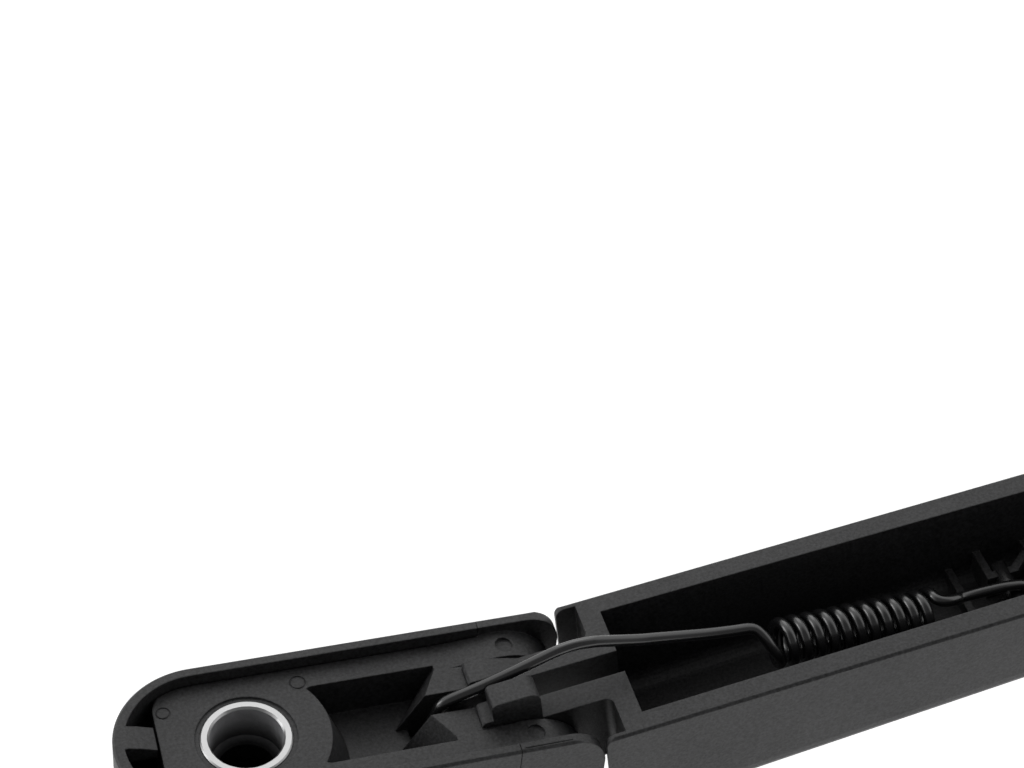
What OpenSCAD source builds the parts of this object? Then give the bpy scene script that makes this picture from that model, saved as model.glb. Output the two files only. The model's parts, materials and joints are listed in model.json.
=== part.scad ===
// Rear-window wiper arm, lying on its back with the glass side up.
// The origin is the centre of the spindle bore's mouth. +X runs along the arm to the blade end.
// The head is drawn in its own frame, where its face is the plane z = 0, and so is the arm, where
// the rims of its channel lie in z = 0 and the channel starts at x = 0.

/* [Head] */
// Width over the head's skirt
head_w = 25; // [23:0.5:28]
// Bushing centre to the centre of the round nose
nose_back = 6; // [4:0.5:9]
// Bushing centre to the straight front end of the block
block_front = 12; // [10.5:0.5:13]
// Height of the rim above the block's face
rim_up = 2; // [1:0.25:3]
// Depth of the head from the block's face to its back
head_depth = 18; // [17:0.25:19]
// Thickness of the block round the bushing
block_t = 8.6; // [8.2:0.2:9.4]
// Wall of the cover's skirt
skirt_t = 1.6; // [1.2:0.1:2]
// Radius of the rounded edge along the back of the head
back_edge_r = 4; // [2.5:0.5:5]
// Hinge pin to the rear end of the head
pin_to_rear = 10.3; // [9.9:0.1:10.4]
// Bushing centre to the seam between cover and rear skirt
seam_x = 36.4; // [35:0.2:37.4]

/* [Bushing] */
// Outer diameter of the metal bushing
bush_d = 13; // [12:0.25:14]
// Diameter of the seat for the spindle's cone
seat_d = 10.4; // [9:0.2:11]
// Depth of that seat
seat_depth = 6.2; // [5:0.2:6.6]
// Diameter of the hole for the threaded stud
stud_d = 8.2; // [6.2:0.2:8.6]
// Thickness of the bushing's collar under the nut
collar_t = 1.2; // [1:0.1:1.6]

/* [Hinge] */
// Bushing centre to the hinge pin along the head
pin_x = 38.9; // [38.5:0.1:39.6]
// Hinge pin below the block's face
pin_drop = 8.7; // [8:0.1:9.2]
// Diameter of the hinge pin
pin_d = 5; // [4:0.25:5.5]
// Angle by which the arm is drawn towards the glass when nothing holds it back
fold_rest = 10.5; // [6:0.5:12]
// Outer radius of the arm's hinge eyes
eye_r = 5; // [4.5:0.1:5.2]
// Half width of the gap between the hinge eyes
tongue_in = 1.95; // [1.7:0.05:2.4]
// Thickness of each hinge eye
tongue_t = 3.8; // [3:0.1:4]
// Running clearance on each side of the eyes
side_gap = 0.3; // [0.2:0.05:0.4]

/* [Arm] */
// Half width of the arm at its channel's start
arm_half_w = 12.94; // [12:0.1:14]
// Half width of the arm at the blade end
tip_half_w = 7.5; // [6.5:0.25:9]
// Length of the channel from its end wall to the blade end
arm_len = 240; // [200:5:280]
// Height of the arm at its channel's start
arm_h = 20.7; // [19.5:0.25:22]
// Height that the arm loses for each millimetre of length
arm_taper = 0.0487; // [0.035:0.001:0.052]
// Thickness of the side rails at the channel's start
rail_t = 3.25; // [2.5:0.1:3.6]
// Thickness of the side rails at the blade end
tip_rail_t = 2.2; // [1.8:0.1:2.6]
// Thickness of the channel's floor
floor_t = 2; // [1.5:0.1:2.3]
// Thickness of the end wall
end_wall_t = 3.2; // [2.4:0.1:3.4]
// Distance from the end wall's channel face to the rear edge of the skin
skin_back = 6.3; // [6:0.05:6.5]
// Hinge pin behind the end wall's channel face
hinge_back = 17.83; // [17.6:0.05:18.2]
// Hinge pin below the rims
hinge_drop = 8.16; // [7.8:0.05:8.4]
// Diameter of the blade's cross pin
blade_pin_d = 4; // [3:0.25:5]
// Blade pin to the end of the arm
blade_pin_back = 9; // [7:0.5:12]

/* [Spring] */
// Diameter of the spring wire
wire_d = 1.7; // [1.4:0.05:1.8]
// Outer diameter of the coil
coil_d = 7.6; // [6.8:0.1:8]
// Number of turns
turns = 12; // [9:1:13]
// Distance from the first turn's centre to the channel's start
coil_start = 23.6; // [22:0.2:26]
// Diameter of the pin that the front hook holds
anchor_d = 3; // [2.5:0.1:3.2]
// Diameter of the pin that the tail hook holds
peg_d = 3; // [2.5:0.1:3.2]

/* [Hidden] */

$fn = 48;
eps = 0.01;
far = 200;

// Fits
press_gap = 0.02;
run_gap = 0.06;
cover_gap = 0.18;
stop_gap = 0.1;

// Angles of the two frames
back_slope = atan(arm_taper);
head_pitch = fold_rest + back_slope;

// Places in the head's frame
head_half = head_w / 2;
block_half = head_half - skirt_t - cover_gap;
pin_h = [pin_x, -pin_drop];
tongue_out = tongue_in + tongue_t;
fork_half = tongue_out + side_gap;
rear_r = head_depth - pin_drop;
rear_corner_r = 5.5;
rim_edge = 0.35;
seam_gap = 0.1;
cheek_x = 31;
// The line from the face's end that just runs into the round cheek
cheek_start = [cheek_x, 0];
cheek_way = norm(pin_h - cheek_start);
cheek_line = sqrt(cheek_way * cheek_way - rear_r * rear_r);
cheek_slope = asin(rear_r / cheek_way) - atan(pin_drop / (pin_x - cheek_x)) - 0.5;
cheek_tangent = cheek_start + cheek_line * [cos(cheek_slope), sin(cheek_slope)];
slot_half = 1.8;
pocket_half = 7;
pocket_x0 = 12.4;
pocket_x1 = 28.7;
pocket_floor = 1.6 - block_t;
prow_x = 26.2;
prow_foot_x = 22.2;
anchor_h = [29, -5];
cheek_mark_z = 0.05;
boss_r = 12;
boss_foot_r = 14.7;
fork_x = pin_x - 3.2;

// Cover hinge
cover_h = [22, -9];
cover_end_r = head_depth + cover_h[1];
trunnion_r = 1.6;
trunnion_in = 2;
panel_t = 1.6;
end_gap = 0.3;
cover_open = 50;

// Latch tab on the cover's nose
tab_y0 = -0.1;
tab_y1 = 3.9;
tab_crease_x = -14.6;

// Places in the arm's frame
pin_a = [-hinge_back, -hinge_drop];
peg_a = [62.3, -12.2];
straight_x = 70;
skin_t = 0.9;
skin_corner_r = 1.6;
pocket_corner_r = 1.2;
arm_edge_r = 4;
cavity_edge_r = 2.5;
tip_room = 20;
tip_half_in = tip_half_w - tip_rail_t;
ramp_x0 = -13.9;
ramp_x1 = -19.4;
pad_x = -22.3;
pad_z = 2.4;
lug_z = 5.7;
lug_x0 = -20.6;
lug_x1 = -13.5;
lug_end_r = 1.5;

// Frames
module in_head() { rotate([0, head_pitch, 0]) children(); }
module in_arm() {
  in_head() translate([pin_h[0], 0, pin_h[1]]) rotate([0, -fold_rest, 0])
    translate([-pin_a[0], 0, -pin_a[1]]) children();
}
// A point of the head's side view, as the arm's side view has it, and the other way round
function turn(p, a) = [p[0] * cos(a) + p[1] * sin(a), -p[0] * sin(a) + p[1] * cos(a)];
function to_arm(p) = pin_a + turn(p - pin_h, fold_rest);

// Carries a side view, drawn as (x, z), across the width from y0 to y1
module across(y0, y1) {
  translate([0, y1, 0]) rotate([90, 0, 0]) linear_extrude(height = y1 - y0) children();
}
module both_sides() {
  children();
  mirror([0, 1, 0]) children();
}
module cross_bore(p, r, half) {
  translate([p[0], -half, p[1]]) rotate([-90, 0, 0]) cylinder(r = r, h = 2 * half);
}
module disc(p, r) { translate(p) circle(r = r); }

// Half of the head's cross section: a tray wall with a rounded edge along the back and a broken rim edge
module tray_half(half, top, bottom, r) {
  translate([0, bottom]) square([half - r, top - bottom]);
  polygon([[0, bottom + r], [half, bottom + r], [half, top - rim_edge], [half - rim_edge, top], [0, top]]);
  disc([half - r, bottom + r], r);
}
module tray(half, top, bottom, r) {
  tray_half(half, top, bottom, r);
  mirror([1, 0]) tray_half(half, top, bottom, r);
}
// The head's outer form: half of a turned nose, then a straight stretch to x1
module head_form(half, top, bottom, r, x1) {
  translate([-nose_back, 0, 0]) {
    difference() {
      rotate_extrude() tray_half(half, top, bottom, r);
      translate([eps, -far / 2, -far / 2]) cube([far, far, far]);
    }
    rotate([90, 0, 90]) linear_extrude(height = nose_back + x1) tray(half, top, bottom, r);
  }
}

module head_block() color([0.1, 0.1, 0.105]) in_head() {
  difference() {
    union() {
      block_front_part();
      block_rear_part();
    }
    pocket();
    translate([0, 0, -far / 2]) cylinder(r = bush_d / 2 + press_gap, h = far);
    translate([0, 0, -0.3]) cylinder(r = bush_d / 2 + 0.7, h = 1);
    across(-slot_half, slot_half) {
      translate([prow_foot_x - 1, pocket_floor]) square([fork_x - prow_foot_x + 2, far]);
      translate([anchor_h[0] - 5, slot_floor]) square([9, far]);
    }
    fork();
    cross_bore(pin_h, pin_d / 2 + press_gap, far / 2);
    cross_bore(anchor_h, anchor_d / 2 + press_gap, far / 2);
    both_sides() across(block_half - trunnion_in - 0.3, block_half + eps)
      disc(cover_h, trunnion_r + run_gap);
    mould_ring([-10.6, 6.6], 1.05);
    mould_ring([9, 8.1], 1.2);
    both_sides() translate([39.8, 8.3, cheek_mark_z]) cylinder(r = 1.3, h = far);
    // The fine line along the near rim
    translate([seam_x + 0.6, 0.5 - head_half, rim_up - 0.12]) cube([7, 0.16, 1]);
  }
}
// The fine ring that an ejector of the mould leaves on the block's face
module mould_ring(p, r) {
  depth = 0.12;
  width = 0.18;
  translate([p[0], p[1], -depth]) difference() {
    cylinder(r = r, h = 1);
    translate([0, 0, -1]) cylinder(r = r - width, h = 3);
  }
}
// The block inside the cover, with a round boss for the cover's hinge
module block_front_part() {
  corner = 4;
  difference() {
    translate([0, 0, -block_t]) linear_extrude(height = block_t) intersection() {
      union() {
        for (s = [-1, 1]) disc([corner - block_front, s * (block_half - corner)], corner);
        translate([-block_front, corner - block_half])
          square([block_front + fork_x, 2 * (block_half - corner)]);
        translate([corner - block_front, -block_half])
          square([block_front - corner + fork_x, 2 * block_half]);
      }
      union() {
        disc([-nose_back, 0], block_half);
        translate([-nose_back, -block_half]) square([far, 2 * block_half]);
      }
    }
    cover_end_room();
  }
  cover_boss();
}
// The round boss on which the cover turns, with its ends rounded like the inside of the cover
module cover_boss() {
  r = cover_end_r - panel_t - end_gap;
  e = back_edge_r - skirt_t;
  translate([cover_h[0], 0, cover_h[1]]) rotate([90, 0, 0]) rotate_extrude() intersection() {
    tray_half(r, far, -block_half, e);
    mirror([0, 1]) tray_half(r, far, -block_half, e);
  }
}
// The rear of the head: cheeks for the hinge pin between two side walls with rounded corners
module block_rear_part() {
  difference() {
    intersection() {
      union() {
        across(-head_half, head_half) cheek_side_view();
        both_sides() across(head_half - skirt_t, head_half) rear_wall_side_view();
      }
      rotate([90, 0, 90]) linear_extrude(height = far) tray(head_half, rim_up, -head_depth, back_edge_r);
    }
    // The cover's skirts lie outside the block, up to the seam
    both_sides() across(block_half, far) cover_skirt_room();
    cover_end_room();
  }
}
// Room in which the cover's rear end turns, and its panel as far as the cover opens
module cover_end_room() {
  difference() {
    across(-far, far) intersection() {
      union() {
        disc(cover_h, cover_end_r + end_gap);
        translate(cover_h) rotate(cover_open) translate([-far, -cover_end_r - end_gap])
          square([far, cover_end_r + end_gap]);
      }
      translate([cover_h[0] - eps, cover_h[1] + end_gap - far]) square([far, far]);
    }
    cover_boss();
  }
}
// The block's face runs on into the round cheeks
module cheek_side_view() {
  translate([cover_h[0], -head_depth]) square([pin_x - cover_h[0], head_depth]);
  polygon([cheek_start, cheek_tangent, pin_h, [cheek_x, -pin_drop]]);
  disc(pin_h, rear_r);
}
module rear_wall_side_view() {
  c = pin_x + pin_to_rear - rear_corner_r;
  translate([seam_x + seam_gap, -pin_drop]) square([c - seam_x - seam_gap, pin_drop + rim_up]);
  translate([c - eps, -pin_drop]) square([rear_corner_r + eps, pin_drop + rim_up - rear_corner_r]);
  disc([c, rim_up - rear_corner_r], rear_corner_r);
}
module cover_skirt_room() {
  r = seam_x - cover_h[0] + seam_gap;
  disc(cover_h, r);
  translate([cover_h[0] - far, cover_h[1]]) square([far + r, far]);
}
// The pocket beside the bushing's boss, with a prow at its rear wall
module pocket() {
  r = 1.4;
  difference() {
    translate([0, 0, pocket_floor]) linear_extrude(height = far) {
      translate([pocket_x0 - 3, r - pocket_half]) square([pocket_x1 - pocket_x0 + 3, 2 * (pocket_half - r)]);
      translate([pocket_x0 - 3 + r, -pocket_half]) square([pocket_x1 - pocket_x0 + 3 - r, 2 * pocket_half]);
      for (s = [-1, 1]) disc([pocket_x0 - 3 + r, s * (pocket_half - r)], r);
    }
    translate([0, 0, pocket_floor - eps]) cylinder(r1 = boss_foot_r, r2 = boss_r, h = eps - pocket_floor);
    prow();
  }
}
module prow() {
  hull() {
    translate([0, 0, -eps]) linear_extrude(height = eps) polygon([
      [pocket_x1 + 1, -pocket_half - 1], [prow_x, -slot_half], [prow_x, slot_half],
      [pocket_x1 + 1, pocket_half + 1]
    ]);
    translate([0, 0, pocket_floor]) linear_extrude(height = eps) polygon([
      [pocket_x1 + 1, -pocket_half - 1], [pocket_x1 - 2.5, -pocket_half], [prow_foot_x, -slot_half],
      [prow_foot_x, slot_half], [pocket_x1 - 2.5, pocket_half], [pocket_x1 + 1, pocket_half + 1]
    ]);
  }
}
// The open fork for the arm's two hinge eyes, also open to the back where they swing down
module fork() {
  across(-fork_half, fork_half) {
    disc(pin_h, eye_r + 0.35);
    translate([fork_x, -pin_drop]) square([far, far]);
    translate([pin_x - 2.8, -far]) square([far, 2 * far]);
    translate([cheek_x - 1, 0]) square([far, far]);
  }
}

module spindle_bushing() color([0.72, 0.72, 0.74]) in_head() rotate_extrude() difference() {
  union() {
    translate([0, -block_t]) square([bush_d / 2, block_t]);
    translate([0, -block_t - collar_t]) square([bush_d / 2 + 1.5, collar_t]);
  }
  translate([0, -seat_depth]) square([seat_d / 2, far]);
  translate([0, -far]) square([stud_d / 2, far]);
}

module head_cover() color([0.09, 0.09, 0.095]) in_head() {
  difference() {
    head_form(head_half, rim_up, -head_depth, back_edge_r, seam_x);
    head_form(head_half - skirt_t, far, panel_t - head_depth, back_edge_r - skirt_t, far);
    both_sides() across(block_half, far) difference() {
      translate([cover_h[0], -far]) square([far, 2 * far]);
      disc(cover_h, seam_x - cover_h[0]);
      translate([0, cover_h[1]]) square([seam_x, far]);
    }
    across(-block_half - cover_gap, block_half + cover_gap) translate([cover_h[0], -far])
      square([far, 2 * far]);
  }
  cover_rear_end();
  both_sides() across(block_half - trunnion_in, head_half - skirt_t + eps) disc(cover_h, trunnion_r);
  latch_tab();
}
// The panel's rear end curls up round the cover's hinge
module cover_rear_end() {
  across(-block_half, block_half) difference() {
    disc(cover_h, cover_end_r);
    disc(cover_h, cover_end_r - panel_t);
    translate([cover_h[0] - far, cover_h[1] - far]) square([far, 2 * far]);
    translate(cover_h) rotate(-70) square([far, far]);
    translate([cover_h[0], cover_h[1]]) square([far, far]);
  }
}
// The latch tab leaves the nose's rim level with it and drops towards the block
module latch_tab() {
  x0 = -nose_back - head_half + skirt_t / 2;
  x1 = -block_front - 0.4;
  across(tab_y0, tab_y1)
    polygon([[x0, -1], [x1, -1], [x1, 0.6], [tab_crease_x, 1.5], [tab_crease_x - 1.7, rim_up], [x0, rim_up]]);
}

module hinge_pin() color([0.6, 0.6, 0.62]) in_head() cross_bore(pin_h, pin_d / 2, head_half - 0.3);
module spring_anchor_pin() color([0.55, 0.55, 0.57]) in_head()
  cross_bore(anchor_h, anchor_d / 2, block_half - 1);

// Arm: half widths, depths and radii along its length
function ease(t) = let (c = min(max(t, 0), 1)) c * c * (3 - 2 * c);
function run_out(x) = ease((x - straight_x) / (arm_len - straight_x));
function half_w(x) = (arm_half_w - 0.0037 * x) * (1 - run_out(x)) + tip_half_w * run_out(x);
function rail(x) = (rail_t + 0.005 * x) * (1 - run_out(x)) + tip_rail_t * run_out(x);
function half_in(x) = half_w(x) - rail(x);
function depth(x) = arm_h - arm_taper * x;
// Amount by which a corner of radius r stands back at a distance d from its end
function corner_back(d, r) = d >= r ? 0 : r - sqrt(max(r * r - (r - d) * (r - d), 0));

// A U-shaped section with rounded lower edges and upper edges broken by e, as (y, z) points
function u_section(half, top, bottom, r, e = 0, n = 6) = concat(
  e > 0 ? [[half - e, top]] : [],
  [[half, top - e]],
  [for (i = [0:n]) [half - r + r * cos(90 * i / n), bottom + r - r * sin(90 * i / n)]],
  [for (i = [n:-1:0]) [-half + r - r * cos(90 * i / n), bottom + r - r * sin(90 * i / n)]],
  [[-half, top - e]],
  e > 0 ? [[-half + e, top]] : []
);
// A solid through sections that all have the same number of points
module loft(xs, sections) {
  n = len(sections[0]);
  m = len(xs);
  points = [for (i = [0:m - 1]) for (p = sections[i]) [xs[i], p[0], p[1]]];
  sides = [for (i = [0:m - 2]) for (j = [0:n - 1])
    let (a = i * n + j, b = i * n + (j + 1) % n)
    each [[a, b, b + n], [a, b + n, a + n]]];
  polyhedron(points, concat([[for (j = [n - 1:-1:0]) j]], sides, [[for (j = [0:n - 1]) (m - 1) * n + j]]));
}
tip_steps = [2, 1.2, 0.6, 0.2, 0];
body_xs = [for (i = [1:12]) i * (arm_len - 2) / 13];
outer_xs = concat([-skin_back], body_xs, [for (d = tip_steps) arm_len - d]);

module arm_outer() {
  loft(outer_xs, [for (x = outer_xs)
    u_section(half_w(x) - corner_back(arm_len - x, 2), 0, -depth(x), arm_edge_r - 1.5 * run_out(x), rim_edge)]);
}
module arm_cavity() {
  xs = concat([0], body_xs, [arm_len - tip_room - 3]);
  loft([for (x = xs) if (x <= arm_len - tip_room - 3) x],
    [for (x = xs) if (x <= arm_len - tip_room - 3) u_section(half_in(x), 1, floor_t - depth(x), cavity_edge_r)]);
}
module tip_cavity() {
  xs = [arm_len - tip_room, arm_len + 1];
  loft(xs, [for (x = xs) u_section(tip_half_in, 1, floor_t - depth(x), 1)]);
}

module arm_channel() color([0.11, 0.11, 0.115]) in_arm() {
  difference() {
    union() {
      difference() {
        arm_outer();
        arm_cavity();
        tip_cavity();
        rear_pockets();
        wire_slot();
      }
      intersection() {
        arm_outer();
        channel_ribs();
      }
      both_sides() hinge_eye();
      near_lug();
    }
    cross_bore(pin_a, pin_d / 2 + run_gap, tongue_out + 1);
    cross_bore(peg_a, peg_d / 2 + press_gap, 6.5);
    cross_bore([arm_len - blade_pin_back, -blade_z()], blade_pin_d / 2 + press_gap, far / 2);
  }
}
function blade_z() = depth(arm_len - blade_pin_back) / 2;
// The skin reaches past the end wall as two thin ears with rounded corners, open to the rear
module rear_pockets() {
  depth0 = arm_h + arm_taper * skin_back;
  r = pocket_corner_r;
  length = skin_back + 1 - end_wall_t;
  width = arm_half_w - skin_t - tongue_out;
  both_sides() translate([-skin_back - 1, tongue_out, floor_t - depth0]) linear_extrude(height = depth0) {
    square([length - r, width]);
    translate([0, r]) square([length, width - r]);
    disc([length - r, r], r);
  }
  translate([-skin_back - 1, -tongue_out, -far / 2]) cube([length, 2 * tongue_out, far]);
  across(-far, far) difference() {
    translate([-skin_back - 1, -skin_corner_r]) square([skin_corner_r + 1, skin_corner_r + 1]);
    disc([skin_corner_r - skin_back, -skin_corner_r], skin_corner_r);
  }
}
// The slot in the end wall through which the wire runs
module wire_slot() {
  translate([-skin_back, -tongue_in, -13]) cube([skin_back + 1, 2 * tongue_in, far]);
}
// One hinge eye on its tongue, with the pad that stops on the block's face
module hinge_eye() {
  across(tongue_in, tongue_out) {
    difference() {
      polygon([
        [-end_wall_t / 2, 0], [ramp_x0, 0], [ramp_x1, pad_z], [pad_x + 0.4, pad_z], [pad_x, pad_z - 0.4],
        [pad_x, 0], [pin_a[0], pin_a[1] - eye_r], [-end_wall_t / 2, pin_a[1] - eye_r]
      ]);
      translate(pin_a) rotate(-fold_rest) translate([fork_x + 0.3 - far, stop_gap - far] - pin_h)
        square([far, far]);
    }
    disc(pin_a, eye_r);
  }
}
// The raised lug on one tongue, with rounded ends
module near_lug() {
  left_r = 0.9;
  across(-tongue_out, -tongue_in) hull() {
    disc([lug_x0 + left_r, lug_z - left_r], left_r);
    disc([lug_x1 - lug_end_r, lug_z - lug_end_r], lug_end_r);
    translate([lug_x0, 1.4]) square([0.1, eps]);
    translate([lug_x1 - 0.1, 0]) square([0.1, eps]);
  }
}
// Cross ribs in the channel and the frame that carries the spring's peg
module channel_ribs() {
  rib_t = 1.2;
  frame_half = 3.4;
  translate([55.1, -far / 2, -far]) cube([rib_t, far, far - 13.4]);
  both_sides() translate([59.6, frame_half, -far]) cube([rib_t, far, far - 11]);
  both_sides() translate([59.6, frame_half, -far]) cube([5.2, rib_t, far - 11]);
  both_sides() translate([64.4, frame_half, -far]) rotate([0, 0, 40]) cube([4.2, rib_t, far - 11]);
  for (x = [67.4, 110, 150, 190]) translate([x, -far / 2, -far]) cube([rib_t, far, far - depth(x) + 6]);
}

// Spring: one wire, swept along its own points
wire_r = wire_d / 2;
coil_r = (coil_d - wire_d) / 2;
coil_pitch = 2.03;
coil_drop = 8.7;
coil_z = -1.3 - 1.39 * coil_d / 2;
hook_r = anchor_d / 2 + wire_r + 0.05;
tail_r = peg_d / 2 + wire_r + 0.05;
slot_floor = anchor_h[1] - hook_r - wire_r - 0.6;
anchor_a = to_arm(anchor_h);
// Points of an arc in the side view, from angle a to angle b
function arc(c, r, a, b, n) = [for (i = [0:n]) [c[0] + r * cos(a + (b - a) * i / n), 0, c[1] + r * sin(a + (b - a) * i / n)]];
// A point of the coil, t turns from its start, with the coil's axis dropping towards the tail
function coil_point(t) = let (s = coil_pitch * t, w = 360 * t, r = coil_r)
  [coil_start + s * cos(coil_drop) + r * cos(w) * sin(coil_drop), -r * sin(w), coil_z - s * sin(coil_drop) + r * cos(w) * cos(coil_drop)];
coil_end = coil_point(turns);
front_pts = concat(
  arc(anchor_a, hook_r, -60, -220, 8),
  [[-28, 0, 0.1], [-27.4, 0, 1.2], [-26.8, 0, 1.9], [-25.8, 0, 2.4]],
  [[-23.6, 0, 2.85], [-20.2, 0, 3.5], [-15.7, 0, 4.6], [-11.6, 0, 5.7]],
  [[-9.5, 0, 6.25], [-7.8, 0, 6.5], [-6.1, 0, 6.5], [-4.3, 0, 6.2], [-2.6, 0, 5.7]],
  [[2.85, 0, 3.6], [6, 0, 2.6], [13, 0, 0.5], [19.2, 0, -1.4], [21.2, 0, -2.2]]
);
coil_steps = 18;
coil_pts = [for (i = [1:turns * coil_steps]) coil_point(i / coil_steps)];
tail_pts = concat(
  [[coil_end[0] + 1.7, 0.4, coil_end[2] - 0.9], [coil_end[0] + 3.2, 0.1, -7.5], [53.3, 0, -8.6]],
  [[55.3, 0, -9.1], [58, 0, -9.15], [60.3, 0, -9.3]],
  arc(peg_a, tail_r, 80, -150, 10)
);
wire_pts = concat(front_pts, coil_pts, tail_pts);
function unit(v) = v / norm(v);
// Each ring of the wire lies across its path. The first ring's side direction is carried from ring to ring.
function tangent(p, i) = unit(p[min(i + 1, len(p) - 1)] - p[max(i - 1, 0)]);
function carried(p, i, n) = i >= len(p) ? [] :
  let (t = tangent(p, i), m = unit(n - (n * t) * t)) concat([m], carried(p, i + 1, m));
module wire(p, r, sides = 8) {
  normals = carried(p, 0, [0, 1, 0]);
  points = [for (i = [0:len(p) - 1]) let (t = tangent(p, i), n = normals[i], b = cross(t, n))
    for (j = [0:sides - 1]) p[i] + r * (cos(360 * j / sides) * n + sin(360 * j / sides) * b)];
  m = len(p);
  skin = [for (i = [0:m - 2]) for (j = [0:sides - 1])
    let (a = i * sides + j, b = i * sides + (j + 1) % sides)
    each [[a, b + sides, b], [a, a + sides, b + sides]]];
  polyhedron(points, concat([[for (j = [0:sides - 1]) j]], skin,
    [[for (j = [sides - 1:-1:0]) (m - 1) * sides + j]]));
}
module tension_spring() color([0.16, 0.16, 0.17]) in_arm() wire(wire_pts, wire_r);

module spring_peg() color([0.55, 0.55, 0.57]) in_arm() cross_bore(peg_a, peg_d / 2, 6);
module blade_pin() color([0.6, 0.6, 0.62]) in_arm()
  cross_bore([arm_len - blade_pin_back, -blade_z()], blade_pin_d / 2, tip_half_w - 0.4);

head_block();
spindle_bushing();
head_cover();
hinge_pin();
spring_anchor_pin();
arm_channel();
tension_spring();
spring_peg();
blade_pin();
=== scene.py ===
import json
import math

import bmesh
import bpy
import numpy as np
from mathutils import Matrix, Vector


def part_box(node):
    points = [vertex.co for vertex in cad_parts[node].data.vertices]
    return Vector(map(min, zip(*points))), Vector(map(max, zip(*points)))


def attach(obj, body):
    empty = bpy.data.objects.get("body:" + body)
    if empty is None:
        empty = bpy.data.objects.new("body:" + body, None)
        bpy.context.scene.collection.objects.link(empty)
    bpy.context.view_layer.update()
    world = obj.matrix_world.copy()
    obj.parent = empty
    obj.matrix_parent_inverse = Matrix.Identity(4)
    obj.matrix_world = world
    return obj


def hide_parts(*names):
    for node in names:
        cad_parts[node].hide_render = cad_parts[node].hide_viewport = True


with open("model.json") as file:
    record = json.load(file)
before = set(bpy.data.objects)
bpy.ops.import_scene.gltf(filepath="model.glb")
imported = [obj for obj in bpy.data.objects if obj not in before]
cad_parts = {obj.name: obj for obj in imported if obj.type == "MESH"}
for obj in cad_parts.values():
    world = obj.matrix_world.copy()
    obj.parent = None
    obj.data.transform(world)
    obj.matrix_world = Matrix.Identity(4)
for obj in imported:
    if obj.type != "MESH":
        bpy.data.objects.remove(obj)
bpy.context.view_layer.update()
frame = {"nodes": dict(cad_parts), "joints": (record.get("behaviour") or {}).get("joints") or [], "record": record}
MM = 0.001
MOUNTS = {mount["name"]: mount for mount in frame["record"]["mounts"]}
JOINTS = {joint["name"]: joint for joint in frame["joints"]}
HEAD_UP = MOUNTS["spindle_bore"]["axis"]
HINGE = JOINTS["arm_fold"]["pos_m"]

bl_info = {
    "name": "Rear wiper arm",
    "version": (1, 0, 0),
    "blender": (4, 5, 0),
    "location": "View3D > Sidebar > Wiper arm",
    "description": "Builds the looks of a moulded rear-window wiper arm and its stage",
    "category": "Object",
}


def linear(hex_colour):
    """Linear RGBA of an sRGB hex colour: each channel by the sRGB curve, with alpha 1."""
    srgb = np.array([int(hex_colour[i:i + 2], 16) for i in (1, 3, 5)]) / 255
    low, high = srgb / 12.92, ((srgb + 0.055) / 1.055) ** 2.4
    return (*np.where(srgb <= 0.04045, low, high).tolist(), 1.0)


# Sizes and colours that a user would change


class WiperSizes(bpy.types.PropertyGroup):
    wire_d: bpy.props.FloatProperty(
        name="Wire diameter", description="Diameter of the spring wire",
        default=1.7 * MM, min=0.0014, max=0.0018, subtype="DISTANCE", unit="LENGTH")
    coil_d: bpy.props.FloatProperty(
        name="Coil diameter", description="Outer diameter of the spring's coil",
        default=7.6 * MM, min=0.0068, max=0.008, subtype="DISTANCE", unit="LENGTH")
    edge_r: bpy.props.FloatProperty(
        name="Edge radius", description="Radius that light finds on the moulded edges",
        default=0.28 * MM, min=0.0, max=0.0006, subtype="DISTANCE", unit="LENGTH")
    grain: bpy.props.FloatProperty(
        name="Grain size", description="Width of one bump of the moulded grain",
        default=0.32 * MM, min=0.0001, max=0.001, subtype="DISTANCE", unit="LENGTH")


class WiperColours(bpy.types.PropertyGroup):
    plastic: bpy.props.FloatVectorProperty(
        name="Plastic", description="Colour of the black moulded plastic",
        default=linear("#19191a"), size=4, min=0, max=1, subtype="COLOR")
    bushing: bpy.props.FloatVectorProperty(
        name="Bushing", description="Colour of the turned zinc bushing",
        default=linear("#b0b0b0"), size=4, min=0, max=1, subtype="COLOR")
    cast: bpy.props.FloatVectorProperty(
        name="Cast skin", description="Colour of the bushing's dull skin inside its bores",
        default=linear("#c4c4c6"), size=4, min=0, max=1, subtype="COLOR")
    wire: bpy.props.FloatVectorProperty(
        name="Spring wire", description="Colour of the coated spring wire",
        default=linear("#121213"), size=4, min=0, max=1, subtype="COLOR")
    pins: bpy.props.FloatVectorProperty(
        name="Pins", description="Colour of the drawn steel pins",
        default=linear("#82817f"), size=4, min=0, max=1, subtype="COLOR")


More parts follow.
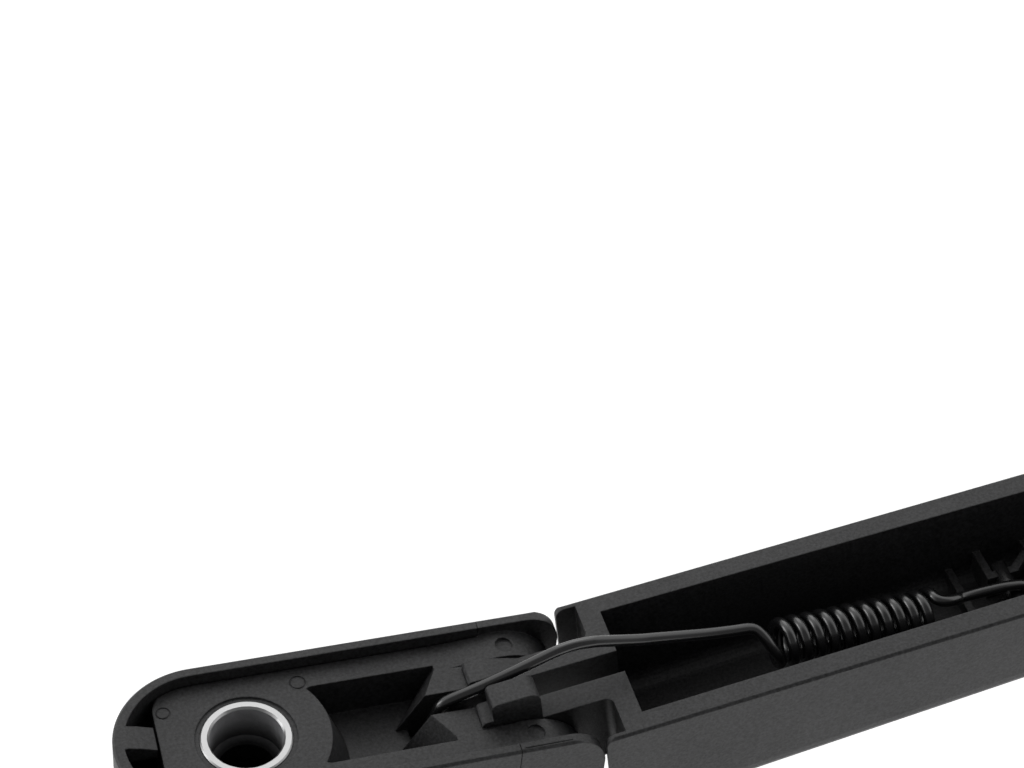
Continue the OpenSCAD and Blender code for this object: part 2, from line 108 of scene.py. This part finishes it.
class WiperStage(bpy.types.PropertyGroup):
    floor: bpy.props.FloatVectorProperty(
        name="Floor", description="Colour of the pale floor",
        default=linear("#fbfbfb"), size=4, min=0, max=1, subtype="COLOR")
    glow: bpy.props.FloatProperty(
        name="Glow", description="Light that the pale floor gives by itself, as a light table",
        default=0.35, min=0)
    key_power: bpy.props.FloatProperty(
        name="Key light", description="Power of the large soft light behind",
        default=2.0, min=0, unit="POWER")
    fill_power: bpy.props.FloatProperty(
        name="Side light", description="Power of the soft light at the left",
        default=2.0, min=0, unit="POWER")
    sky: bpy.props.FloatProperty(
        name="Sky", description="Strength of the white surroundings",
        default=0.98, min=0)
    room: bpy.props.FloatProperty(
        name="Room", description="Strength of the dim room in front of the white surroundings",
        default=0.2, min=0)
    azimuth: bpy.props.FloatProperty(
        name="Azimuth", description="Direction of the camera round the object, from +X towards +Y",
        default=math.radians(-98.006), subtype="ANGLE", unit="ROTATION")
    elevation: bpy.props.FloatProperty(
        name="Elevation", description="Height of the camera's direction over the floor",
        default=math.radians(45.416), subtype="ANGLE", unit="ROTATION")
    roll: bpy.props.FloatProperty(
        name="Roll", description="Turn of the camera about its own direction",
        default=math.radians(-11.66), subtype="ANGLE", unit="ROTATION")
    place: bpy.props.FloatVectorProperty(
        name="Camera place", description="Place of the camera in the part's frame",
        default=(18.823 * MM, -197.957 * MM, 254.252 * MM), size=3, subtype="TRANSLATION", unit="LENGTH")
    lens: bpy.props.FloatProperty(
        name="Lens", description="Focal length for a sensor 36 mm wide",
        default=79.858, min=20, unit="CAMERA")


# Meshes worked out with numpy


def grid_faces(rows, columns):
    """Quads of a grid whose columns close on themselves: corner (i, j) joins (i + 1, j) and (i, j + 1)."""
    i, j = np.meshgrid(np.arange(rows - 1), np.arange(columns), indexing="ij")
    k = (j + 1) % columns
    quads = [i * columns + j, i * columns + k, (i + 1) * columns + k, (i + 1) * columns + j]
    return np.stack(quads, axis=-1).reshape(-1, 4)


def piece_from_grid(name, grid):
    """A smooth piece from a grid of points whose columns close on themselves, and whose first and last rows
    have each shrunk to a point or lie on each other. Doubles are merged, and the normals point outwards."""
    rows, columns = grid.shape[:2]
    mesh = bpy.data.meshes.new(name)
    mesh.from_pydata(grid.reshape(-1, 3), [], grid_faces(rows, columns))
    bm = bmesh.new()
    bm.from_mesh(mesh)
    bmesh.ops.remove_doubles(bm, verts=bm.verts, dist=1e-7)
    bmesh.ops.recalc_face_normals(bm, faces=bm.faces)
    bm.to_mesh(mesh)
    bm.free()
    mesh.polygons.foreach_set("use_smooth", np.ones(len(mesh.polygons), bool))
    piece = bpy.data.objects.new(name, mesh)
    bpy.context.scene.collection.objects.link(piece)
    return piece


def read_rows(items, key):
    """A property (x, y, z) of all of a mesh's corners or faces, as the rows of an array."""
    values = np.empty(len(items) * 3)
    items.foreach_get(key, values)
    return values.reshape(-1, 3)


def unit(vectors):
    """The same directions with a length of 1."""
    return vectors / np.linalg.norm(vectors, axis=-1, keepdims=True)


def arc(centre, radius, start, end, count):
    """Points (x, z) on a circle: centre plus radius times (cos a, sin a), with a from start to end in
    degrees."""
    a = np.radians(np.linspace(start, end, count))
    return np.stack([centre[0] + radius * np.cos(a), centre[1] + radius * np.sin(a)], axis=-1)


def smooth_line(points, step):
    """A line through all the points: each stretch is a Catmull-Rom curve, the cubic whose slope at a point is
    half the way from its earlier to its later neighbour, sampled about every step."""
    before = np.concatenate([[2 * points[0] - points[1]], points[:-2]])
    start, end = points[:-1], points[1:]
    after = np.concatenate([points[2:], [2 * points[-1] - points[-2]]])
    count = np.maximum(np.ceil(np.linalg.norm(end - start, axis=-1) / step), 1).astype(int)
    stretch = np.repeat(np.arange(len(start)), count)
    t = (np.arange(len(stretch)) - np.repeat(np.cumsum(count) - count, count)) / count[stretch]
    t = t[:, None]
    a, b, c, d = before[stretch], start[stretch], end[stretch], after[stretch]
    curve = b + 0.5 * t * (c - a + t * (2 * a - 5 * b + 4 * c - d + t * (3 * (b - c) + d - a)))
    return np.concatenate([curve, points[-1:]])


def swept_round(name, line, side, radius, sides=20):
    """A round wire along a line: a ring of the radius at each point, in the plane across the tangent, counted
    from the side direction given for that point. Each end closes with three rings, for a of 30, 60 and 90
    degrees: they have cos a of the radius and lie 0.35 sin a of it further out."""
    tangent = unit(np.gradient(line, axis=0))
    side = unit(side - np.sum(side * tangent, axis=-1, keepdims=True) * tangent)
    cap = np.radians([90, 60, 30])
    over = radius * 0.35 * np.sin(cap)[:, None]
    first = line[0] - over * tangent[0]
    last = line[-1] + over[::-1] * tangent[-1]
    centres = np.concatenate([first, line, last])
    radii = radius * np.concatenate([np.cos(cap), np.ones(len(line)), np.cos(cap)[::-1]])
    pad = ((len(cap), len(cap)), (0, 0))
    tangent, side = np.pad(tangent, pad, mode="edge"), np.pad(side, pad, mode="edge")
    across = np.cross(tangent, side)
    a = np.linspace(0, 2 * np.pi, sides, endpoint=False)[None, :, None]
    ring = np.cos(a) * side[:, None] + np.sin(a) * across[:, None]
    return piece_from_grid(name, centres[:, None] + radii[:, None, None] * ring)


def turned(name, profile, axis, sides=144):
    """A turned piece: a closed profile of (radius, height) points carried round the axis through the origin.
    A point at angle a lies at radius times (cos a, sin a) across the axis and at its height along it."""
    up = unit(np.array(axis, float))
    across = np.array([0.0, 1.0, 0.0])
    along = np.cross(across, up)
    a = np.linspace(0, 2 * np.pi, sides, endpoint=False)[None, :, None]
    ring = np.cos(a) * along + np.sin(a) * across
    profile = np.array([*profile, profile[0]], float)
    return piece_from_grid(name, profile[:, 0, None, None] * ring + profile[:, 1, None, None] * up)


# Materials, each named for what the real one is and how its surface was made


def add(tree, kind, settings=(), **links):
    """Adds a node with its settings, and links sockets to it: an input's name, or its number after an i."""
    node = tree.nodes.new(kind)
    for key, value in dict(settings).items():
        if isinstance(key, str) and hasattr(node, key):
            setattr(node, key, value)
        else:
            node.inputs[key].default_value = value
    for key, source in links.items():
        place = int(key[1:]) if key[0] == "i" and key[1:].isdigit() else key.replace("_", " ")
        tree.links.new(source, node.inputs[place])
    return node


def material(name, **values):
    """A new material, its node tree and its shader. Names in values are the shader's sockets, with a low line
    for a space."""
    made = bpy.data.materials.new(name)
    made.use_nodes = True
    shader = made.node_tree.nodes["Principled BSDF"]
    for key, value in values.items():
        shader.inputs[key.replace("_", " ")].default_value = value
    return made, made.node_tree, shader


def scaled_colour(tree, colour, amount):
    """A node that gives the colour times the result of another node."""
    return add(tree, "ShaderNodeVectorMath", {"operation": "SCALE", 0: tuple(colour)[:3]},
               Scale=amount.outputs["Result"])


def moulded_plastic(sizes, colours):
    """Glass-filled nylon, moulded against a fine spark-eroded tool: nearly black and matt, with a grain that
    breaks up the highlights, and thin glass streaks that make it lighter here and there."""
    made, tree, shader = material("glass_filled_nylon_moulded_grain", Base_Color=colours.plastic,
                                  Roughness=0.52, IOR=1.53)
    place = add(tree, "ShaderNodeTexCoord").outputs["Object"]
    # One bump of grain is about a third of a millimetre wide, coarser than the real one so that it shows
    grain = add(tree, "ShaderNodeTexNoise", {"Scale": 1 / sizes.grain, "Detail": 2.0}, Vector=place)
    # Glass streaks come to the surface about every half millimetre, and the resin between them is darker
    fibre = add(tree, "ShaderNodeTexNoise", {"Scale": 1 / (0.45 * MM), "Detail": 3.0, "Roughness": 0.6},
                Vector=place)
    shade = add(tree, "ShaderNodeMapRange",
                {"From Min": 0.33, "From Max": 0.67, "To Min": 0.0, "To Max": 2.7},
                Value=fibre.outputs["Fac"])
    tint = scaled_colour(tree, colours.plastic, shade)
    tree.links.new(tint.outputs["Vector"], shader.inputs["Base Color"])
    # The melt's flow leaves broad duller and glossier patches, about 9 mm wide
    flow = add(tree, "ShaderNodeTexNoise", {"Scale": 1 / (9 * MM), "Detail": 3.0}, Vector=place)
    rough = add(tree, "ShaderNodeMapRange", {"To Min": 0.46, "To Max": 0.60}, Value=flow.outputs["Fac"])
    round_edges = add(tree, "ShaderNodeBevel", {"samples": 4, "Radius": sizes.edge_r})
    bump = add(tree, "ShaderNodeBump", {"Strength": 0.8, "Distance": 0.045 * MM},
               Height=grain.outputs["Fac"], Normal=round_edges.outputs["Normal"])
    tree.links.new(rough.outputs["Result"], shader.inputs["Roughness"])
    tree.links.new(bump.outputs["Normal"], shader.inputs["Normal"])
    return made


def turned_zinc(colours):
    """Die-cast zinc faced on a lathe: bright, with fine concentric tool marks that draw the highlight out."""
    made, tree, shader = material("die_cast_zinc_turned", Base_Color=colours.bushing, Metallic=1.0,
                                  Roughness=0.34)
    place = add(tree, "ShaderNodeTexCoord").outputs["Object"]
    # The head is pitched, so its axis is turned upright for the rings
    pitch = math.acos(HEAD_UP[2])
    level = add(tree, "ShaderNodeMapping", {"vector_type": "POINT", "Rotation": (0, -pitch, 0)}, Vector=place)
    # A wave at scale s repeats every 0.31 / s, so the tool marks lie about 0.24 mm apart
    rings = add(tree, "ShaderNodeTexWave",
                {"wave_type": "RINGS", "rings_direction": "Z", "Scale": 1 / (0.75 * MM), "Distortion": 0.4},
                Vector=level.outputs["Vector"])
    bump = add(tree, "ShaderNodeBump", {"Strength": 0.25, "Distance": 0.01 * MM}, Height=rings.outputs["Fac"])
    tree.links.new(bump.outputs["Normal"], shader.inputs["Normal"])
    return made


def cast_zinc(colours):
    """The same zinc as it left the die: dull, with a rough grey skin inside the bores. Its colour is darkened by
    painted shade from the mouth down to the smaller hole, where it is nearly black."""
    made, tree, shader = material("die_cast_zinc_as_cast", Base_Color=colours.cast, Metallic=1.0,
                                  Roughness=0.62)
    place = add(tree, "ShaderNodeTexCoord").outputs["Object"]
    height = add(tree, "ShaderNodeVectorMath", {"operation": "DOT_PRODUCT", 1: tuple(HEAD_UP)}, i0=place)
    # Painted shade in the bore: full colour down to 2.4 mm under the mouth, and nearly black from 6.6 mm on
    painted_bore_shade = add(tree, "ShaderNodeMapRange",
                {"From Min": -6.6 * MM, "From Max": -2.4 * MM, "To Min": 0.04, "To Max": 1.0},
                Value=height.outputs["Value"])
    # The skin's colour times the painted shade, darker deeper in the bore
    tint = scaled_colour(tree, colours.cast, painted_bore_shade)
    tree.links.new(tint.outputs["Vector"], shader.inputs["Base Color"])
    # The skin's pits are just under a millimetre wide
    skin = add(tree, "ShaderNodeTexNoise", {"Scale": 1 / (0.8 * MM), "Detail": 4.0}, Vector=place)
    rough = add(tree, "ShaderNodeMapRange", {"To Min": 0.5, "To Max": 0.8}, Value=skin.outputs["Fac"])
    bump = add(tree, "ShaderNodeBump", {"Strength": 0.7, "Distance": 0.1 * MM}, Height=skin.outputs["Fac"])
    tree.links.new(rough.outputs["Result"], shader.inputs["Roughness"])
    tree.links.new(bump.outputs["Normal"], shader.inputs["Normal"])
    return made


def coated_spring_wire(colours):
    """Patented spring wire under a thin black zinc-flake coat: half glossy, with a long soft highlight."""
    made, tree, shader = material("spring_wire_black_coat", Base_Color=colours.wire, Roughness=0.22, IOR=1.8)
    place = add(tree, "ShaderNodeTexCoord").outputs["Object"]
    # The flakes are about a quarter of a millimetre wide
    flakes = add(tree, "ShaderNodeTexNoise", {"Scale": 1 / (0.25 * MM), "Detail": 1.0}, Vector=place)
    rough = add(tree, "ShaderNodeMapRange", {"To Min": 0.17, "To Max": 0.28}, Value=flakes.outputs["Fac"])
    tree.links.new(rough.outputs["Result"], shader.inputs["Roughness"])
    return made


def drawn_steel(colours):
    """Bright steel rod as drawn: grey, with faint marks along it."""
    made, tree, shader = material("steel_rod_drawn", Base_Color=colours.pins, Metallic=1.0, Roughness=0.32)
    place = add(tree, "ShaderNodeTexCoord").outputs["Object"]
    # The marks are 0.2 mm wide and 20 times as long, along the pins
    stretched = add(tree, "ShaderNodeMapping", {"Scale": (1, 0.05, 1)}, Vector=place)
    marks = add(tree, "ShaderNodeTexNoise", {"Scale": 1 / (0.2 * MM), "Detail": 2.0},
                Vector=stretched.outputs["Vector"])
    rough = add(tree, "ShaderNodeMapRange", {"To Min": 0.24, "To Max": 0.42}, Value=marks.outputs["Fac"])
    tree.links.new(rough.outputs["Result"], shader.inputs["Roughness"])
    return made


def paint(node, made):
    """Puts one material on all of a CAD node's faces."""
    mesh = frame["nodes"][node].data
    mesh.materials.clear()
    mesh.materials.append(made)


# Operators


class WIPER_OT_mouldings(bpy.types.Operator):
    """Give the head, its cover and the arm their moulded black plastic"""
    bl_idname = "wiper.mouldings"
    bl_label = "Plastic mouldings"

    def execute(self, context):
        plastic = moulded_plastic(context.scene.wiper_sizes, context.scene.wiper_colours)
        for node in ("head_block", "head_cover", "arm_channel"):
            paint(node, plastic)
        return {"FINISHED"}


class WIPER_OT_bushing(bpy.types.Operator):
    """Turn the spindle's bushing, with its seat, stud hole and small bevels"""
    bl_idname = "wiper.bushing"
    bl_label = "Spindle bushing"

    def execute(self, context):
        seat, stud = MOUNTS["spindle_bore"]["dims"], MOUNTS["stud_bore"]["dims"]
        seat_r, stud_r, seat_z = seat["r_mm"] * MM, stud["r_mm"] * MM, -seat["length_mm"] * MM
        outer_r, collar_r, collar_t = 6.5 * MM, 8 * MM, 1.2 * MM
        stud_middle = float(np.dot(MOUNTS["stud_bore"]["pos_m"], HEAD_UP))
        bottom = stud_middle - stud["length_mm"] * MM / 2
        collar_z = bottom + collar_t
        bevel = 0.2 * MM
        # A cone leads from the seat's floor to the stud's hole
        cone_depth = 0.6 * MM
        profile = [
            (stud_r, bottom + bevel), (stud_r, seat_z - cone_depth),
            (seat_r - 1.2 * bevel, seat_z), (seat_r, seat_z + bevel),
            (seat_r, -1.6 * bevel), (seat_r + 1.2 * bevel, 0),
            (outer_r - bevel, 0), (outer_r, -bevel),
            (outer_r, collar_z), (collar_r - bevel, collar_z), (collar_r, collar_z - bevel),
            (collar_r, bottom + bevel), (collar_r - bevel, bottom), (stud_r + bevel, bottom),
        ]
        bushing = turned("turned_bushing", profile, HEAD_UP)
        self.roughen_lip(bushing.data, seat_r, bevel)
        bushing.data.set_sharp_from_angle(angle=math.radians(25))
        bushing.data.materials.append(turned_zinc(context.scene.wiper_colours))
        bushing.data.materials.append(cast_zinc(context.scene.wiper_colours))
        # The lathe faced the two flat ends, and the bores between them are as cast
        heights = read_rows(bushing.data.polygons, "center") @ HEAD_UP
        faced = (heights > -bevel) | (heights < bottom + bevel)
        bushing.data.polygons.foreach_set("material_index", np.where(faced, 0, 1).astype(np.int32))
        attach(bushing, "head")
        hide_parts("spindle_bushing")
        return {"FINISHED"}

    def roughen_lip(self, mesh, seat_r, bevel):
        """The seat's mouth is as cast, so its lip isn't quite round: each of its corners moves outwards by
        the reach times (0.5 + 0.2 sin 7a + 0.15 sin(13a + 1) + 0.15 sin(29a + 2)), with a the angle round
        the axis."""
        reach = 0.07 * MM
        up = np.array(HEAD_UP)
        along = np.cross([0.0, 1.0, 0.0], up)
        points = read_rows(mesh.vertices, "co")
        height = points @ up
        out = points - height[:, None] * up
        radius = np.linalg.norm(out, axis=-1)
        a = np.arctan2(out[:, 1], out @ along)
        wave = 0.5 + 0.2 * np.sin(7 * a) + 0.15 * np.sin(13 * a + 1) + 0.15 * np.sin(29 * a + 2)
        lip = (np.abs(height) < bevel / 2) & (radius < seat_r + 2 * bevel)
        points[lip] += reach * wave[lip, None] * out[lip] / radius[lip, None]
        mesh.vertices.foreach_set("co", points.ravel())


class WIPER_OT_pins(bpy.types.Operator):
    """Give the pins their drawn steel"""
    bl_idname = "wiper.pins"
    bl_label = "Steel pins"

    def execute(self, context):
        steel = drawn_steel(context.scene.wiper_colours)
        for node in ("hinge_pin", "spring_anchor_pin", "blade_pin"):
            paint(node, steel)
        return {"FINISHED"}


class WIPER_OT_spring(bpy.types.Operator):
    """Wind the tension spring with its two hooks from one round wire"""
    bl_idname = "wiper.spring"
    bl_label = "Tension spring"

    def execute(self, context):
        sizes = context.scene.wiper_sizes
        line, side = spring_line(sizes.wire_d / 2 / MM, sizes.coil_d / 2 / MM)
        spring = swept_round("wound_spring", arm_to_row(line), arm_turned(side), sizes.wire_d / 2)
        coat = coated_spring_wire(context.scene.wiper_colours)
        spring.data.materials.append(coat)
        paint("spring_peg", coat)
        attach(spring, "spring")
        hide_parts("tension_spring")
        return {"FINISHED"}


# The arm's own frame, in millimetres: x from the channel's end wall, z from its rims, and the back slopes to
# the rims by 0.0487 in 1. Then the places in it of the hinge's pin, the spring's peg and its anchor pin.
BACK_SLOPE = math.atan(0.0487)
HINGE_A = np.array([-17.83, 0, -8.16])
PEG_A = np.array([62.3, -12.2])
ANCHOR_A = np.array([-26.89, -2.72])


def arm_turned(vectors):
    """Turns directions of the arm's frame into the part's frame: by the back's slope, about Y."""
    s, c = math.sin(BACK_SLOPE), math.cos(BACK_SLOPE)
    turn = np.array([[c, 0, s], [0, 1, 0], [-s, 0, c]])
    return vectors @ turn.T


def arm_to_row(points):
    """Places of the arm's frame, in millimetres, in the part's frame, in metres, so that the hinges meet."""
    return arm_turned(points - HINGE_A) * MM + np.array(HINGE)


def spring_line(wire_r, coil_outer_r):
    """The centre line of the spring's wire and a side direction for each of its points, in the arm's frame. The
    hooks are arcs about their pins, the rod and the tail follow listed points, and the coil is a helix: its point
    after t turns is pitch times t along the axis, which drops towards the tail, and the coil's radius across it at
    360 t degrees."""
    turns, pitch, drop = 12, 2.17, math.radians(7.6)
    steps, first = 36, 10
    radius = coil_outer_r - wire_r
    # The coil's middle starts 6.6 mm below the rims, and lower for a thicker coil
    start = np.array([23.0, 0, -1.3 - 1.39 * coil_outer_r])
    pin_r, play = 1.5, 0.05
    hook_r = pin_r + wire_r + play
    rod = np.concatenate([
        arc(ANCHOR_A, hook_r, start=-60, end=-220, count=9),
        [(-28, 0.1), (-27.4, 1.2), (-26.8, 1.9), (-25.8, 2.4), (-23.6, 2.85), (-20.2, 3.5), (-15.7, 4.6)],
        [(-11.6, 5.7), (-9.5, 6.25), (-7.8, 6.5), (-6.1, 6.5)],
        [(-4.3, 6.2), (-2.6, 5.7), (2.85, 3.6), (6, 2.6), (13, 0.4), (17, -0.65), (19.8, -1.35)],
    ])
    # The rod comes down on the near side of the coil and joins it at the first of its points, just over a
    # quarter turn from its top
    lead = [(20.9, -0.4, -1.95), (21.8, -1.4, -3.1), (22.5, -2.4, -4.5), (23.1, -2.93, -5.7)]
    rod = np.concatenate([np.insert(rod, 1, 0, axis=1), lead])
    t = np.arange(first, turns * steps + 1) / steps
    a = 2 * np.pi * t
    axis = np.array([math.cos(drop), 0, -math.sin(drop)])
    lift = np.array([math.sin(drop), 0, math.cos(drop)])
    spoke = np.cos(a)[:, None] * lift - np.sin(a)[:, None] * np.array([0, 1, 0])
    coil = start + pitch * t[:, None] * axis + radius * spoke
    end = coil[-1]
    tail = np.concatenate([
        end + [(0.7, -0.75, -0.1), (1.8, -1.0, -0.35), (3.2, -0.65, -0.9)],
        [(53.4, -0.2, -8.55), (55.2, 0, -8.9), (57.6, 0, -9.05), (60.3, 0, -9.3)],
        np.insert(arc(PEG_A, hook_r, start=80, end=-150, count=12), 1, 0, axis=1),
    ])

    def upwards(points):
        """Directions across a line in the side view, to its left as it runs on."""
        run = unit(np.gradient(points, axis=0))
        return np.stack([-run[:, 2], np.zeros(len(run)), run[:, 0]], axis=-1)

    line = np.concatenate([rod, coil, tail])
    side = np.concatenate([upwards(rod), spoke, upwards(tail)])
    both = smooth_line(np.concatenate([line, side], axis=-1), step=0.35)
    return both[:, :3], both[:, 3:]


# The direction from the part to the dim room, and the place that the lights face
ROOM_WAY = (0, -0.72, 0.69)
LIT_PLACE = Vector((0.06, 0, 0))


class WIPER_OT_stage(bpy.types.Operator):
    """Set up the pale floor, the soft lights and the camera at the photograph's angle"""
    bl_idname = "wiper.stage"
    bl_label = "Stage"

    def execute(self, context):
        stage = context.scene.wiper_stage
        self.lay_floor(stage)
        self.hang_light("key_softbox", stage.key_power, size=0.8, place=(0.3, 1.0, 0.8))
        self.hang_light("side_softbox", stage.fill_power, size=0.5, place=(-0.9, 0.4, 0.6))
        context.scene.world = self.surroundings(stage)
        context.scene.view_settings.view_transform = "Standard"
        self.set_camera(context, stage)
        return {"FINISHED"}

    def surroundings(self, stage):
        """White walls all round, with a dim room in front: the strength falls from sky to room where the
        cosine of the angle to the room's direction goes from 0.35 to 0.8."""
        world = bpy.data.worlds.new("white_surroundings")
        world.use_nodes = True
        tree = world.node_tree
        way = add(tree, "ShaderNodeTexCoord").outputs["Generated"]
        near = add(tree, "ShaderNodeVectorMath", {"operation": "DOT_PRODUCT", 1: ROOM_WAY}, i0=way)
        light = add(tree, "ShaderNodeMapRange",
                    {"interpolation_type": "SMOOTHSTEP", "From Min": 0.35, "From Max": 0.8,
                     "To Min": stage.sky, "To Max": stage.room},
                    Value=near.outputs["Value"])
        background = tree.nodes["Background"]
        background.inputs["Color"].default_value = (1, 1, 1, 1)
        tree.links.new(light.outputs["Result"], background.inputs["Strength"])
        return world

    def lay_floor(self, stage):
        """A flat square of four corners, under the arm also when the arm is folded right down. After a turn
        by a, a corner of the arm's box that lies x and z from the hinge is z cos a - x sin a above it, and
        the floor is a small gap below the lowest corner."""
        half, gap = 3.0, 2 * MM
        low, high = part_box("arm_channel")
        fold = math.radians(JOINTS["arm_fold"]["range_deg"][1])
        heights = [HINGE[2] + (z - HINGE[2]) * math.cos(fold) - (x - HINGE[0]) * math.sin(fold)
                   for x in (low.x, high.x) for z in (low.z, high.z)]
        floor_z = min(low.z, *heights) - gap
        corners = np.array([(-half, -half), (half, -half), (half, half), (-half, half)])
        mesh = bpy.data.meshes.new("floor")
        mesh.from_pydata(np.insert(corners, 2, floor_z, axis=1), [], [(0, 1, 2, 3)])
        floor = bpy.data.objects.new("floor", mesh)
        bpy.context.scene.collection.objects.link(floor)
        table = material("white_light_table", Base_Color=stage.floor, Roughness=0.9,
                         Emission_Color=stage.floor, Emission_Strength=stage.glow)[0]
        mesh.materials.append(table)

    def hang_light(self, name, power, size, place):
        """A square area light that faces the lit place, with its size and place in metres."""
        lamp = bpy.data.lights.new(name, "AREA")
        lamp.energy = power
        lamp.size = size
        light = bpy.data.objects.new(name, lamp)
        bpy.context.scene.collection.objects.link(light)
        light.location = place
        light.rotation_euler = (LIT_PLACE - Vector(place)).to_track_quat("-Z", "Y").to_euler()

    def set_camera(self, context, stage):
        """A camera whose back points at the azimuth and elevation, and which is turned by the roll about that
        direction."""
        back = Vector((math.cos(stage.elevation) * math.cos(stage.azimuth),
                       math.cos(stage.elevation) * math.sin(stage.azimuth), math.sin(stage.elevation)))
        level = Vector((0, 0, 1)).cross(back).normalized()
        turn = Matrix.Rotation(stage.roll, 3, back)
        right = turn @ level
        up = back.cross(right)
        lens = bpy.data.cameras.new("photo_camera")
        lens.lens = stage.lens
        lens.sensor_width = 36
        lens.clip_start = 0.01
        camera = bpy.data.objects.new("photo_camera", lens)
        context.scene.collection.objects.link(camera)
        axes = Matrix((right, up, back)).transposed().to_4x4()
        camera.matrix_world = Matrix.Translation(stage.place) @ axes
        context.scene.camera = camera


class WIPER_PT_panel(bpy.types.Panel):
    """Lists the steps that build the wiper arm's looks"""
    bl_idname = "WIPER_PT_panel"
    bl_label = "Wiper arm"
    bl_space_type = "VIEW_3D"
    bl_region_type = "UI"
    bl_category = "Wiper arm"

    def draw(self, context):
        for step in STEPS:
            self.layout.operator(step.bl_idname)
        for settings in ("wiper_sizes", "wiper_colours", "wiper_stage"):
            group = getattr(context.scene, settings)
            for key in group.bl_rna.properties.keys():
                if key not in ("rna_type", "name"):
                    self.layout.prop(group, key)


STEPS = (WIPER_OT_mouldings, WIPER_OT_bushing, WIPER_OT_pins, WIPER_OT_spring, WIPER_OT_stage)
CLASSES = (WiperSizes, WiperColours, WiperStage, *STEPS, WIPER_PT_panel)


def register():
    for made in CLASSES:
        bpy.utils.register_class(made)
    bpy.types.Scene.wiper_sizes = bpy.props.PointerProperty(type=WiperSizes)
    bpy.types.Scene.wiper_colours = bpy.props.PointerProperty(type=WiperColours)
    bpy.types.Scene.wiper_stage = bpy.props.PointerProperty(type=WiperStage)


def unregister():
    for name in ("wiper_sizes", "wiper_colours", "wiper_stage"):
        delattr(bpy.types.Scene, name)
    for made in reversed(CLASSES):
        bpy.utils.unregister_class(made)


def main():
    register()
    bpy.ops.wiper.mouldings()
    bpy.ops.wiper.bushing()
    bpy.ops.wiper.pins()
    bpy.ops.wiper.spring()
    bpy.ops.wiper.stage()


if __name__ == "__main__":
    main()
